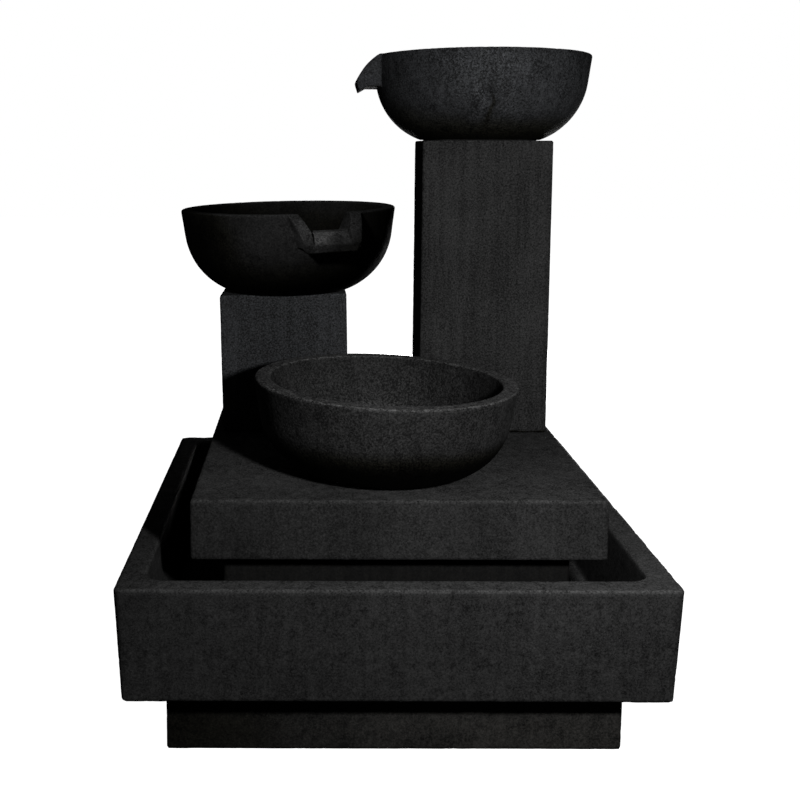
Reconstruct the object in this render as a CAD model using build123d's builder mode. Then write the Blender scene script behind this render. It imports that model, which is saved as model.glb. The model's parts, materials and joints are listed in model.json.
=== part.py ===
from build123d import *

import os
from math import atan, cos, degrees, radians, sin

# Tiered cast-stone water fountain with three bowls, two columns and a square basin.
# Units are millimetres.  +Z is up, the front faces -Y, and the origin is on the ground
# under the centre of the plinth.

# ---------------------------------------------------------------- driving dimensions

# Plinth and basin
PLINTH_SIDE = 678.0
PLINTH_WALL = 70.0
PAD_THICKNESS = 3.0
BASIN_FOOT_Z = 104.0
BASIN_RIM_Z = 274.5
BASIN_FOOT_SIDE = 790.0
BASIN_RIM_SIDE = 808.0
BASIN_RIM_WIDTH = 40.0
BASIN_FLOOR_THICKNESS = 45.0
POOL_FLOOR_SIDE = 702.0

# Everything above the basin stands a little to the right of its centre
STACK_X = 6.8

# Pump pedestal and slab
PEDESTAL_SIDE = 531.0
PEDESTAL_WALL = 40.0
SLAB_SIDE = 622.0
SLAB_FOOT_Z = 282.0
SLAB_THICKNESS = 91.5
DOOR_WIDTH = 128.0
DOOR_HEIGHT = 105.0
DOOR_X = 166.0
INLET_WIDTH = 40.0
INLET_HEIGHT = 18.0
INLET_COUNT = 3

# Columns
COLUMN_DEPTH = 150.0
COLUMN_Y = 145.0
COLUMN_PAD_THICKNESS = 2.0
SHORT_COLUMN_X = -171.4
SHORT_COLUMN_WIDTH = 229.5
SHORT_COLUMN_HEIGHT = 251.5
SHORT_COLUMN_SEAT = 4.0
SHORT_COLUMN_LEAN = -1.1
SHORT_CORE_X = 50.0
SHORT_CORE_CAP = 40.0
TALL_COLUMN_X = 188.4
TALL_COLUMN_WIDTH = 232.5
TALL_COLUMN_TOP_Z = 906.0
COLUMN_CORE = 80.0

# Spouted bowls (the top and middle ones come from one mould)
BOWL_HEIGHT = 151.0
BOWL_RIM_R = 198.0
BOWL_SHOULDER_R = 191.0
BOWL_SHOULDER_Z = 100.5
BOWL_FOOT_R = 109.0
BOWL_WALL = 22.0
BOWL_FLOOR = 28.0
BOWL_INNER_FOOT_R = 86.0

# Their spout, measured out from the bowl's axis and down from its rim
SPOUT_RIM_R = 188.5
SPOUT_BROW_R = 210.0
SPOUT_BROW_DROP = 17.0
SPOUT_TIP_R = 229.0
SPOUT_TIP_DROP = 47.0
SPOUT_NOSE_R = 224.0
SPOUT_NOSE_DROP = 65.0
SPOUT_UNDERSIDE_R = 210.0
SPOUT_UNDERSIDE_DROP = 57.0
SPOUT_TOP_HALF = 67.0
SPOUT_FOOT_HALF = 45.0
CHANNEL_TOP_HALF = 46.0
CHANNEL_FLOOR_HALF = 34.0
CHANNEL_DROP = 30.0
CHANNEL_BREAK_R = 206.0
CHANNEL_LIP_R = 231.5
CHANNEL_LIP_DROP = 53.0
CHANNEL_START_R = 86.0
CHANNEL_END_R = 247.0
CHANNEL_OVER = 22.0

# Lower bowl
LOWER_HEIGHT = 141.5
LOWER_RIM_R = 214.0
LOWER_SHOULDER_R = 203.0
LOWER_SHOULDER_Z = 80.0
LOWER_FOOT_R = 134.0
LOWER_WALL = 27.0
LOWER_FLOOR = 28.0
LOWER_INNER_FOOT_R = 100.0

# Where the bowls stand
TOP_BOWL_X = 183.8
MIDDLE_BOWL_X = -165.8
LOWER_X = -8.2
LOWER_Y = -140.0

# Seats: how high each bowl's foot stands, and its turn and tilt in degrees
TOP_SEAT = 1.5
MIDDLE_FOOT_Z = 632.5
LOWER_SEAT = 6.5
TOP_AZIMUTH = 180.0
MIDDLE_AZIMUTH = -69.6
MIDDLE_TILT = (0.8, -1.1)
LOWER_TILT = (0.0, 1.8)
SEAT_GAP = 0.3
SEAT_PAD_R = 12.0
SEAT_PAD_COUNT = 3
SEAT_PAD_MAX = 25.0
SEAT_RING_EDGE = 6.0
SEAT_RING_HOLE_R = 45.0

# Edges worn round on the castings
ARRIS = 3.0
BLOCK_CORNER = 4.0
BASIN_ARRIS = 3.5
BASIN_CORNER = 5.0
POOL_ARRIS = 5.0
POOL_CORNER = 14.0
RIM_ARRIS = 4.0

# Basin drain and cord grommet, both through the back wall
DRAIN_X = -250.0
DRAIN_Z = 172.0
DRAIN_R = 15.0
DRAIN_TAPER_R = 12.5
DRAIN_HEAD_R = 20.0
DRAIN_HEAD = 7.0
DRAIN_RECESS = 12.0
DRAIN_FIT = 0.3
GRIP_THICKNESS = 4.0
GRIP_HEIGHT = 16.0
GROMMET_X = 200.0
GROMMET_Z = 245.0
GROMMET_R = 12.0
GROMMET_HEAD_R = 17.0
GROMMET_HEAD = 4.0
GROMMET_LENGTH = 30.0
CORD_BORE_R = 4.0

# Pump
PUMP_FOOT_GAP = 9.0
PUMP_WIDTH = 78.0
PUMP_HEIGHT = 64.0
PUMP_BACK_Y = 66.0
PUMP_FRONT_Y = 157.0
PUMP_SKIN = 3.5
PUMP_EDGE = 7.0
BACK_PLATE = 4.0
GLAND_R = 6.0
GLAND_BASE_R = 9.0
GLAND_TAIL_R = 5.0
GLAND_LENGTH = 24.0
CUP_SPREAD_X = 26.0
CUP_SPREAD_Y = 31.0
POCKET_END_Y = 127.0
WELL_R = 12.0
WELL_TUBE_R = 14.5
WELL_END_Y = 81.0
WELL_CAP = 3.0
CHAMBER_R = 25.0
CHAMBER_Y = 131.0
OUTLET_R = 5.0
OUTLET_SOCKET_R = 9.0
OUTLET_SOCKET_DEPTH = 6.0
SEAL_INNER_R = 26.5
SEAL_OUTER_R = 29.5
SEAL_DEPTH = 1.5

# Rotor
SHAFT_R = 1.5
SHAFT_FIT = 0.05
MAGNET_R = 10.8
MAGNET_Y = 84.5
MAGNET_LENGTH = 44.0
HUB_R = 5.0
IMPELLER_END_Y = 151.0
DISC_Y = 134.0
DISC_R = 22.0
DISC_THICKNESS = 2.0
BLADE_COUNT = 6
BLADE_HEIGHT = 14.0
BLADE_THICKNESS = 2.0
BUSH_R = 3.0
BUSH_LENGTH = 3.0
PLATE_Y = 153.0
PLATE_R = 24.7
PLATE_EYE_R = 12.0
SPOKE_WIDTH = 3.0
SPOKE_LENGTH = 13.0
SPOKE_COUNT = 3

# Stator
CORE_Y = (88.0, 116.0)
CORE_WEB_X = (-32.0, -20.0)
CORE_LEG_X = 16.0
CORE_LEG_Z = (15.5, 23.0)
COIL_X = (-34.5, -16.5)
COIL_Y = (84.0, 120.0)
COIL_Z = 13.0

# Cover and flow slider
COVER_GAP = 0.3
COVER_DEPTH = 24.0
COVER_SKIN = 2.5
SLOT_PITCH = 9.0
SLOT_WIDTH = 4.0
SLOT_COUNT = 5
SLOT_HEIGHT = 34.0
SLIDER_WIDTH = 50.0
SLIDER_HEIGHT = 40.0
SLIDER_THICKNESS = 2.0
SLIDER_GRIP = 3.0
RAIL = 3.0

# Plumbing
TUBE_R = 8.0
TUBE_BORE_R = 6.5
TUBE_FOOT_Z = 227.0
TUBE_TOP_Z = 886.0
PASSAGE_R = 18.0
BARB_RISE = 3.0
BARB_COUNT = 3
BARB_PITCH = 6.0
BARB_NECK_R = 5.9
CLAMP_THICKNESS = 1.2
CLAMP_WIDTH = 9.0
CLAMP_SCREW_R = 3.5
CLAMP_SCREW_LENGTH = 14.0
CLAMP_RISE = 12.0
STEM_R = 12.7
STEM_HOLE_R = 13.0
STEM_FLANGE_R = 19.0
STEM_FLANGE = 5.0
STEM_FIT = 0.05
WASHER = 2.0
WASHER_R = 18.0
NUT_SIDES = 6
NUT_R = 20.0
NUT_THICKNESS = 9.0

# ---------------------------------------------------------------- derived positions

PLINTH_HEIGHT = BASIN_FOOT_Z - PAD_THICKNESS
POOL_FLOOR_Z = BASIN_FOOT_Z + BASIN_FLOOR_THICKNESS
POOL_RIM_SIDE = BASIN_RIM_SIDE - 2 * BASIN_RIM_WIDTH
PEDESTAL_TOP_Z = SLAB_FOOT_Z - PAD_THICKNESS
SLAB_TOP_Z = SLAB_FOOT_Z + SLAB_THICKNESS
TALL_COLUMN_FOOT_Z = SLAB_TOP_Z + COLUMN_PAD_THICKNESS
TOP_FOOT_Z = TALL_COLUMN_TOP_Z + TOP_SEAT
PUMP_FOOT_Z = POOL_FLOOR_Z + PUMP_FOOT_GAP
PUMP_TOP_Z = PUMP_FOOT_Z + PUMP_HEIGHT
ROTOR_Z = PUMP_FOOT_Z + PUMP_HEIGHT / 2
PUMP_X = TOP_BOWL_X
COVER_Y = PUMP_FRONT_Y + COVER_GAP
BACK_WALL_Y = BASIN_RIM_SIDE / 2

SHORT_COLUMN_PLACE = Location(
    (SHORT_COLUMN_X, COLUMN_Y, SLAB_TOP_Z + SHORT_COLUMN_SEAT), (0, SHORT_COLUMN_LEAN, 0)
)
TALL_COLUMN_PLACE = Location((TALL_COLUMN_X, COLUMN_Y, TALL_COLUMN_FOOT_Z))
TOP_PLACE = Location((TOP_BOWL_X, COLUMN_Y, TOP_FOOT_Z), (0, 0, TOP_AZIMUTH))
MIDDLE_PLACE = Location((MIDDLE_BOWL_X, COLUMN_Y, MIDDLE_FOOT_Z), (*MIDDLE_TILT, MIDDLE_AZIMUTH))
LOWER_PLACE = Location((LOWER_X, LOWER_Y, SLAB_TOP_Z + LOWER_SEAT), (*LOWER_TILT, 0))


def finish(piece, name):
    """Label a finished sub-part and write it to its own STEP file."""
    piece.label = name
    export_step(piece, f"parts/{name}.step")


def cross_plane(y):
    """A plane across the pump's axis: x to the right, y up, at depth y."""
    return Plane(origin=(PUMP_X, y, ROTOR_Z), x_dir=(-1, 0, 0), z_dir=(0, 1, 0))


# ---------------------------------------------------------------- stone blocks


def hollow_block(side, wall, foot_z, top_z, centre_x):
    """A square ring of wall, open at the top and the bottom."""
    with BuildPart() as block:
        with BuildSketch(Plane.XY.offset(foot_z)):
            with Locations((centre_x, 0)):
                RectangleRounded(side, side, BLOCK_CORNER)
                RectangleRounded(side - 2 * wall, side - 2 * wall, BLOCK_CORNER, mode=Mode.SUBTRACT)
        extrude(amount=top_z - foot_z)
        for face in (block.faces().sort_by(Axis.Z)[0], block.faces().sort_by(Axis.Z)[-1]):
            fillet(face.outer_wire().edges(), ARRIS)
    return block.part


def solid_block(width, depth, centre, foot_z, top_z):
    """A plain rectangular casting with rounded arrises."""
    with BuildPart() as block:
        with BuildSketch(Plane.XY.offset(foot_z)):
            with Locations(centre):
                RectangleRounded(width, depth, BLOCK_CORNER)
        extrude(amount=top_z - foot_z)
        fillet(block.edges().group_by(Axis.Z)[-1] + block.edges().group_by(Axis.Z)[0], ARRIS)
    return block.part


def make_basin():
    """Drafted square trough with a flat rim, a drain and a cord hole through its back wall."""
    outer_draft = degrees(atan((BASIN_RIM_SIDE - BASIN_FOOT_SIDE) / 2 / (BASIN_RIM_Z - BASIN_FOOT_Z)))
    inner_draft = degrees(atan((POOL_RIM_SIDE - POOL_FLOOR_SIDE) / 2 / (BASIN_RIM_Z - POOL_FLOOR_Z)))
    with BuildPart() as basin:
        with BuildSketch(Plane.XY.offset(BASIN_FOOT_Z)):
            RectangleRounded(BASIN_FOOT_SIDE, BASIN_FOOT_SIDE, BASIN_CORNER)
        extrude(amount=BASIN_RIM_Z - BASIN_FOOT_Z, taper=-outer_draft)
        fillet(basin.edges().group_by(Axis.Z)[-1] + basin.edges().group_by(Axis.Z)[0], BASIN_ARRIS)
        with BuildSketch(Plane.XY.offset(POOL_FLOOR_Z)):
            RectangleRounded(POOL_FLOOR_SIDE, POOL_FLOOR_SIDE, POOL_CORNER)
        extrude(amount=BASIN_RIM_Z - POOL_FLOOR_Z, taper=-inner_draft, mode=Mode.SUBTRACT)
        pool_mouth = basin.faces().sort_by(Axis.Z)[-1].inner_wires()[0]
        fillet(pool_mouth.edges(), POOL_ARRIS)
        with BuildSketch(Plane.XZ.offset(-BACK_WALL_Y)):
            with Locations((DRAIN_X, DRAIN_Z)):
                Circle(DRAIN_HEAD_R + 2 * DRAIN_FIT)
            with Locations((GROMMET_X, GROMMET_Z)):
                Circle(GROMMET_HEAD_R)
        extrude(amount=DRAIN_RECESS, mode=Mode.SUBTRACT)
        with BuildSketch(Plane.XZ.offset(-BACK_WALL_Y)):
            with Locations((GROMMET_X, GROMMET_Z)):
                Circle(GROMMET_R)
        extrude(amount=2 * BASIN_RIM_WIDTH, mode=Mode.SUBTRACT)
        drain_mouth_y = BACK_WALL_Y - DRAIN_RECESS
        drain_length = BASIN_RIM_WIDTH + DRAIN_RECESS
        with Locations(Location((DRAIN_X, drain_mouth_y - drain_length / 2, DRAIN_Z), (-90, 0, 0))):
            Cone(DRAIN_TAPER_R + DRAIN_FIT, DRAIN_R + DRAIN_FIT, drain_length, mode=Mode.SUBTRACT)
    return basin.part


def make_pedestal():
    """Hollow block that carries the slab, with a pump door at the back and water inlets."""
    back_y = PEDESTAL_SIDE / 2
    with BuildPart() as pedestal:
        add(hollow_block(PEDESTAL_SIDE, PEDESTAL_WALL, POOL_FLOOR_Z, PEDESTAL_TOP_Z, STACK_X))
        with Locations((DOOR_X, back_y - PEDESTAL_WALL / 2, POOL_FLOOR_Z)):
            Box(
                DOOR_WIDTH,
                2 * PEDESTAL_WALL,
                DOOR_HEIGHT,
                align=(Align.CENTER, Align.CENTER, Align.MIN),
                mode=Mode.SUBTRACT,
            )
        with Locations((STACK_X, 0, POOL_FLOOR_Z)):
            with GridLocations(PEDESTAL_SIDE, PEDESTAL_SIDE / (INLET_COUNT + 1), 2, INLET_COUNT):
                Box(
                    4 * PEDESTAL_WALL,
                    INLET_WIDTH,
                    INLET_HEIGHT,
                    align=(Align.CENTER, Align.CENTER, Align.MIN),
                    mode=Mode.SUBTRACT,
                )
    return pedestal.part


def make_slab():
    """Thick square slab with a round passage for the riser tube."""
    with BuildPart() as slab:
        add(solid_block(SLAB_SIDE, SLAB_SIDE, (STACK_X, 0), SLAB_FOOT_Z, SLAB_TOP_Z))
        with Locations((PUMP_X, COLUMN_Y, SLAB_TOP_Z)):
            Hole(PASSAGE_R, depth=SLAB_THICKNESS)
    return slab.part


def make_column(width, height, core_xs, core_height):
    """Pillar that stands on the origin, cored from below to save weight or to pass the riser tube."""
    with BuildPart() as column:
        add(solid_block(width, COLUMN_DEPTH, (0, 0), 0, height))
        with BuildSketch():
            with Locations([(x, 0) for x in core_xs]):
                RectangleRounded(COLUMN_CORE, COLUMN_CORE, BLOCK_CORNER)
        extrude(amount=core_height, mode=Mode.SUBTRACT)
    return column.part


# ---------------------------------------------------------------- bowls


def bowl_blank(rim_r, rim_z, shoulder_r, shoulder_z, foot_r, foot_z):
    """Solid of revolution with a flat foot, a tangent belly arc and a drafted side."""
    with BuildPart() as blank:
        with BuildSketch(Plane.XZ):
            with BuildLine():
                side = Line((rim_r, rim_z), (shoulder_r, shoulder_z))
                TangentArc((shoulder_r, shoulder_z), (foot_r, foot_z), tangent=side % 1)
                Polyline((foot_r, foot_z), (0, foot_z), (0, rim_z), (rim_r, rim_z))
            make_face()
        revolve(axis=Axis.Z)
    return blank.part


def spout_block():
    """Outside of the spout: a beak in side view, narrower at its foot in end view."""
    root_r = BOWL_SHOULDER_R - BOWL_WALL
    with BuildPart() as beak:
        with BuildSketch(Plane.XZ):
            with BuildLine():
                rim = (SPOUT_RIM_R, BOWL_HEIGHT)
                brow = (SPOUT_BROW_R, BOWL_HEIGHT - SPOUT_BROW_DROP)
                tip = (SPOUT_TIP_R, BOWL_HEIGHT - SPOUT_TIP_DROP)
                ThreePointArc(rim, brow, tip)
                Polyline(
                    tip,
                    (SPOUT_NOSE_R, BOWL_HEIGHT - SPOUT_NOSE_DROP),
                    (SPOUT_UNDERSIDE_R, BOWL_HEIGHT - SPOUT_UNDERSIDE_DROP),
                    (root_r, BOWL_HEIGHT - SPOUT_UNDERSIDE_DROP),
                    (root_r, BOWL_HEIGHT),
                    rim,
                )
            make_face()
        extrude(amount=SPOUT_TOP_HALF, both=True)
        with BuildSketch(Plane.YZ.offset(root_r)):
            with Locations((0, BOWL_HEIGHT)):
                Polygon(
                    (-SPOUT_TOP_HALF, 0),
                    (SPOUT_TOP_HALF, 0),
                    (SPOUT_FOOT_HALF, -SPOUT_NOSE_DROP),
                    (-SPOUT_FOOT_HALF, -SPOUT_NOSE_DROP),
                    align=None,
                )
        extrude(amount=BOWL_RIM_R, mode=Mode.INTERSECT)
        fillet(beak.edges().filter_by(Axis.Y).group_by(Axis.X)[-1], RIM_ARRIS)
    return beak.part


def spout_channel():
    """The water's way through the rim: level floor, then a fall to the lip."""
    fall = (CHANNEL_LIP_DROP - CHANNEL_DROP) / (CHANNEL_LIP_R - CHANNEL_BREAK_R)
    end_drop = CHANNEL_LIP_DROP + fall * (CHANNEL_END_R - CHANNEL_LIP_R)
    flare = (CHANNEL_TOP_HALF - CHANNEL_FLOOR_HALF) / CHANNEL_DROP
    over_half = CHANNEL_TOP_HALF + flare * CHANNEL_OVER
    with BuildPart() as channel:
        with BuildSketch(Plane.XZ):
            with Locations((0, BOWL_HEIGHT)):
                Polygon(
                    (CHANNEL_START_R, CHANNEL_OVER),
                    (CHANNEL_END_R, CHANNEL_OVER),
                    (CHANNEL_END_R, -end_drop),
                    (CHANNEL_BREAK_R, -CHANNEL_DROP),
                    (CHANNEL_START_R, -CHANNEL_DROP),
                    align=None,
                )
        extrude(amount=over_half, both=True)
        with BuildSketch(Plane.YZ.offset(CHANNEL_START_R)):
            with Locations((0, BOWL_HEIGHT)):
                Polygon(
                    (-over_half, CHANNEL_OVER),
                    (over_half, CHANNEL_OVER),
                    (CHANNEL_FLOOR_HALF, -CHANNEL_DROP),
                    (CHANNEL_FLOOR_HALF, -end_drop),
                    (-CHANNEL_FLOOR_HALF, -end_drop),
                    (-CHANNEL_FLOOR_HALF, -CHANNEL_DROP),
                    align=None,
                )
        extrude(amount=CHANNEL_END_R, mode=Mode.INTERSECT)
    return channel.part


def spouted_bowl(foot_hole_r):
    """Top or middle bowl, standing on the origin with its spout along +X."""
    draft = (BOWL_RIM_R - BOWL_SHOULDER_R) / (BOWL_HEIGHT - BOWL_SHOULDER_Z)
    with BuildPart() as bowl:
        add(bowl_blank(BOWL_RIM_R, BOWL_HEIGHT, BOWL_SHOULDER_R, BOWL_SHOULDER_Z, BOWL_FOOT_R, 0))
        fillet(bowl.edges().filter_by(GeomType.CIRCLE).group_by(Axis.Z)[-1], RIM_ARRIS)
        add(spout_block())
        inner_rim_r = BOWL_RIM_R - BOWL_WALL
        inner_shoulder_r = BOWL_SHOULDER_R - BOWL_WALL - draft * BOWL_WALL
        add(
            bowl_blank(
                inner_rim_r, BOWL_HEIGHT, inner_shoulder_r, BOWL_SHOULDER_Z, BOWL_INNER_FOOT_R, BOWL_FLOOR
            ),
            mode=Mode.SUBTRACT,
        )
        inner_rim = bowl.edges().filter_by(GeomType.CIRCLE).group_by(Axis.Z)[-1]
        fillet(inner_rim.sort_by(lambda edge: edge.radius)[0], RIM_ARRIS)
        add(spout_channel(), mode=Mode.SUBTRACT)
        if foot_hole_r:
            with Locations((0, 0, BOWL_FLOOR)):
                Hole(foot_hole_r, depth=BOWL_FLOOR)
    return bowl.part


def plain_bowl():
    """Lower bowl, standing on the origin: its rim is the weir."""
    with BuildPart() as bowl:
        add(bowl_blank(LOWER_RIM_R, LOWER_HEIGHT, LOWER_SHOULDER_R, LOWER_SHOULDER_Z, LOWER_FOOT_R, 0))
        add(
            bowl_blank(
                LOWER_RIM_R - LOWER_WALL,
                LOWER_HEIGHT,
                LOWER_SHOULDER_R - LOWER_WALL,
                LOWER_SHOULDER_Z,
                LOWER_INNER_FOOT_R,
                LOWER_FLOOR,
            ),
            mode=Mode.SUBTRACT,
        )
        fillet(bowl.edges().filter_by(GeomType.CIRCLE).group_by(Axis.Z)[-1], RIM_ARRIS)
    return bowl.part


def placed(shape, place):
    """A casting moved to its seat."""
    with BuildPart() as piece:
        with Locations(place):
            add(shape)
    return piece.part


def pads_between(centres, ground, seat, gap):
    """Round pads from a ground plane to a gap below a seat plane; either plane may slope."""
    with BuildPart() as pads:
        with Locations([(x, y, ground.origin.Z) for x, y in centres]):
            Cylinder(SEAT_PAD_R, 2 * SEAT_PAD_MAX)
        split(bisect_by=seat.offset(-gap), keep=Keep.BOTTOM)
        split(bisect_by=ground, keep=Keep.TOP)
    return pads.part


def seat_ring(place, foot_r, ground):
    """Rubber ring between a bowl's foot and the top of its column; either of them may slope."""
    seat = Plane(place)
    with BuildPart() as piece:
        with Locations((seat.origin.X, seat.origin.Y, ground.origin.Z)):
            Cylinder(foot_r - SEAT_RING_EDGE, 2 * SEAT_PAD_MAX)
            Box(2 * foot_r, COLUMN_DEPTH - 2 * SEAT_RING_EDGE, 2 * SEAT_PAD_MAX, mode=Mode.INTERSECT)
            Cylinder(SEAT_RING_HOLE_R, 2 * SEAT_PAD_MAX, mode=Mode.SUBTRACT)
        split(bisect_by=seat.offset(-SEAT_GAP), keep=Keep.BOTTOM)
        split(bisect_by=ground, keep=Keep.TOP)
    return piece.part


def foot_ring(place, foot_r):
    """Centres of the pads under a bowl's foot."""
    centre = Plane(place).origin
    ring_r = foot_r - 2 * SEAT_PAD_R
    turns = [radians(90 + 360 * index / SEAT_PAD_COUNT) for index in range(SEAT_PAD_COUNT)]
    return [(centre.X + ring_r * cos(turn), centre.Y + ring_r * sin(turn)) for turn in turns]


def flat_pads(centres, foot_z, thickness):
    """Round setting pads of one thickness between two flat castings."""
    with BuildPart() as pads:
        with BuildSketch(Plane.XY.offset(foot_z)):
            with Locations(centres):
                Circle(SEAT_PAD_R)
        extrude(amount=thickness)
    return pads.part


def square_centres(half_x, half_y, centre_x, centre_y):
    """The four corners of a rectangle about a centre."""
    return [(centre_x + sx * half_x, centre_y + sy * half_y) for sx in (-1, 1) for sy in (-1, 1)]


# ---------------------------------------------------------------- basin fittings


def make_drain_plug():
    """Tapered rubber stopper with a head in the wall's recess and a finger grip."""
    mouth_y = BACK_WALL_Y - DRAIN_RECESS + DRAIN_FIT
    length = BASIN_RIM_WIDTH
    grip_y = mouth_y + DRAIN_HEAD
    grip_room = BACK_WALL_Y - grip_y
    slope = (DRAIN_R - DRAIN_TAPER_R) / (BASIN_RIM_WIDTH + DRAIN_RECESS)
    with BuildPart() as plug:
        with Locations(Location((DRAIN_X, mouth_y - length / 2, DRAIN_Z), (-90, 0, 0))):
            Cone(DRAIN_R - slope * length, DRAIN_R, length)
        with Locations(Location((DRAIN_X, mouth_y + DRAIN_HEAD / 2, DRAIN_Z), (-90, 0, 0))):
            Cylinder(DRAIN_HEAD_R, DRAIN_HEAD)
        with Locations((DRAIN_X, grip_y + grip_room / 2, DRAIN_Z)):
            Box(GRIP_THICKNESS, grip_room, GRIP_HEIGHT)
    return plug.part


def make_grommet():
    """Rubber cord grommet in the back wall, above the water line."""
    head_y = BACK_WALL_Y - DRAIN_RECESS
    with BuildPart() as grommet:
        with BuildSketch(Plane.XZ.offset(-head_y)):
            with Locations((GROMMET_X, GROMMET_Z)):
                Circle(GROMMET_HEAD_R)
        extrude(amount=-GROMMET_HEAD)
        with BuildSketch(Plane.XZ.offset(-head_y)):
            with Locations((GROMMET_X, GROMMET_Z)):
                Circle(GROMMET_R)
        extrude(amount=GROMMET_LENGTH)
        with BuildSketch(Plane.XZ.offset(-BACK_WALL_Y)):
            with Locations((GROMMET_X, GROMMET_Z)):
                Circle(CORD_BORE_R)
        extrude(amount=2 * BASIN_RIM_WIDTH, mode=Mode.SUBTRACT)
    return grommet.part


# ---------------------------------------------------------------- pump


def ring(plane, outer_r, inner_r, length):
    """A tube or disc along a plane's normal; inner_r of 0 leaves it solid."""
    with BuildPart() as piece:
        with BuildSketch(plane):
            Circle(outer_r)
            if inner_r:
                Circle(inner_r, mode=Mode.SUBTRACT)
        extrude(amount=length)
    return piece.part


def make_pump_housing():
    """Moulded housing: potted motor pocket at the back, rotor well and open volute chamber."""
    with BuildPart() as housing:
        with BuildSketch(cross_plane(PUMP_BACK_Y)):
            RectangleRounded(PUMP_WIDTH, PUMP_HEIGHT, PUMP_EDGE)
        extrude(amount=PUMP_FRONT_Y - PUMP_BACK_Y)
        with BuildSketch(cross_plane(PUMP_BACK_Y)):
            RectangleRounded(PUMP_WIDTH - 2 * PUMP_SKIN, PUMP_HEIGHT - 2 * PUMP_SKIN, PUMP_SKIN)
        extrude(amount=POCKET_END_Y - PUMP_BACK_Y, mode=Mode.SUBTRACT)
        add(ring(cross_plane(WELL_END_Y - WELL_CAP), WELL_TUBE_R, 0, CHAMBER_Y - WELL_END_Y + WELL_CAP))
        add(ring(cross_plane(WELL_END_Y), WELL_R, 0, PUMP_FRONT_Y - WELL_END_Y), mode=Mode.SUBTRACT)
        add(ring(cross_plane(CHAMBER_Y), CHAMBER_R, 0, PUMP_FRONT_Y - CHAMBER_Y), mode=Mode.SUBTRACT)
        seal_plane = cross_plane(PUMP_FRONT_Y - SEAL_DEPTH)
        add(ring(seal_plane, SEAL_OUTER_R, SEAL_INNER_R, SEAL_DEPTH), mode=Mode.SUBTRACT)
        with Locations((PUMP_X, COLUMN_Y, PUMP_TOP_Z)):
            CounterBoreHole(OUTLET_R, OUTLET_SOCKET_R, OUTLET_SOCKET_DEPTH, depth=PUMP_HEIGHT / 2)
    return housing.part


def make_back_plate():
    """Lid over the motor pocket, with the hole of the cord gland."""
    with BuildPart() as plate:
        with BuildSketch(cross_plane(PUMP_BACK_Y - BACK_PLATE)):
            RectangleRounded(PUMP_WIDTH, PUMP_HEIGHT, PUMP_EDGE)
            Circle(GLAND_R, mode=Mode.SUBTRACT)
        extrude(amount=BACK_PLATE)
    return plate.part


def make_cord_gland():
    """Tapered rubber strain relief on the back plate; its bore is empty."""
    tail_y = PUMP_BACK_Y - BACK_PLATE - GLAND_LENGTH
    with BuildPart() as gland:
        add(ring(cross_plane(PUMP_BACK_Y - BACK_PLATE), GLAND_R, 0, BACK_PLATE))
        with Locations(Location((PUMP_X, tail_y + GLAND_LENGTH / 2, ROTOR_Z), (-90, 0, 0))):
            Cone(GLAND_TAIL_R, GLAND_BASE_R, GLAND_LENGTH)
        add(ring(cross_plane(tail_y), CORD_BORE_R, 0, GLAND_LENGTH + BACK_PLATE), mode=Mode.SUBTRACT)
    return gland.part


def pump_box(x_range, y_range, z_range):
    """A box in the pump's own axes: x and z from the rotor's axis, y in the model."""
    low = (PUMP_X + x_range[0], y_range[0], ROTOR_Z + z_range[0])
    return Location(low), [high - start for start, high in (x_range, y_range, z_range)]


def make_stator_core():
    """Laminated C core: a web beside the well and two legs that clasp it."""
    corner = (Align.MIN, Align.MIN, Align.MIN)
    leg_span = (CORE_WEB_X[0], CORE_LEG_X)
    legs = [CORE_LEG_Z, (-CORE_LEG_Z[1], -CORE_LEG_Z[0])]
    boxes = [(CORE_WEB_X, (-CORE_LEG_Z[1], CORE_LEG_Z[1]))] + [(leg_span, leg) for leg in legs]
    with BuildPart() as core:
        for x_range, z_range in boxes:
            place, size = pump_box(x_range, CORE_Y, z_range)
            with Locations(place):
                Box(*size, align=corner)
    return core.part


def make_stator_coil():
    """Winding on its bobbin, round the core's web."""
    corner = (Align.MIN, Align.MIN, Align.MIN)
    solid_place, solid_size = pump_box(COIL_X, COIL_Y, (-COIL_Z, COIL_Z))
    hole_place, hole_size = pump_box(CORE_WEB_X, CORE_Y, (-COIL_Z, COIL_Z))
    with BuildPart() as coil:
        with Locations(solid_place):
            Box(*solid_size, align=corner)
        fillet(coil.edges().filter_by(Axis.Z), BLADE_THICKNESS)
        with Locations(hole_place):
            Box(*hole_size, align=corner, mode=Mode.SUBTRACT)
    return coil.part


def make_impeller():
    """Disc with straight blades on a hub that runs on the fixed shaft."""
    blade_length = DISC_R - HUB_R / 2
    with BuildPart() as impeller:
        hub_y = MAGNET_Y + MAGNET_LENGTH
        add(ring(cross_plane(hub_y), HUB_R, 0, IMPELLER_END_Y - hub_y))
        add(ring(cross_plane(DISC_Y), DISC_R, 0, DISC_THICKNESS))
        with BuildSketch(cross_plane(DISC_Y)):
            with PolarLocations(HUB_R / 2 + blade_length / 2, BLADE_COUNT):
                Rectangle(blade_length, BLADE_THICKNESS)
        extrude(amount=BLADE_HEIGHT)
        shaft_bore = SHAFT_R + SHAFT_FIT
        add(ring(cross_plane(hub_y), shaft_bore, 0, IMPELLER_END_Y - hub_y), mode=Mode.SUBTRACT)
    return impeller.part


def make_bushings():
    """Rear bushing at the end of the well and front bushing in the volute plate."""
    with BuildPart() as bushings:
        add(ring(cross_plane(WELL_END_Y), BUSH_R, SHAFT_R, BUSH_LENGTH))
        add(ring(cross_plane(PLATE_Y), BUSH_R, SHAFT_R, BUSH_LENGTH))
    return bushings.part


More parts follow.
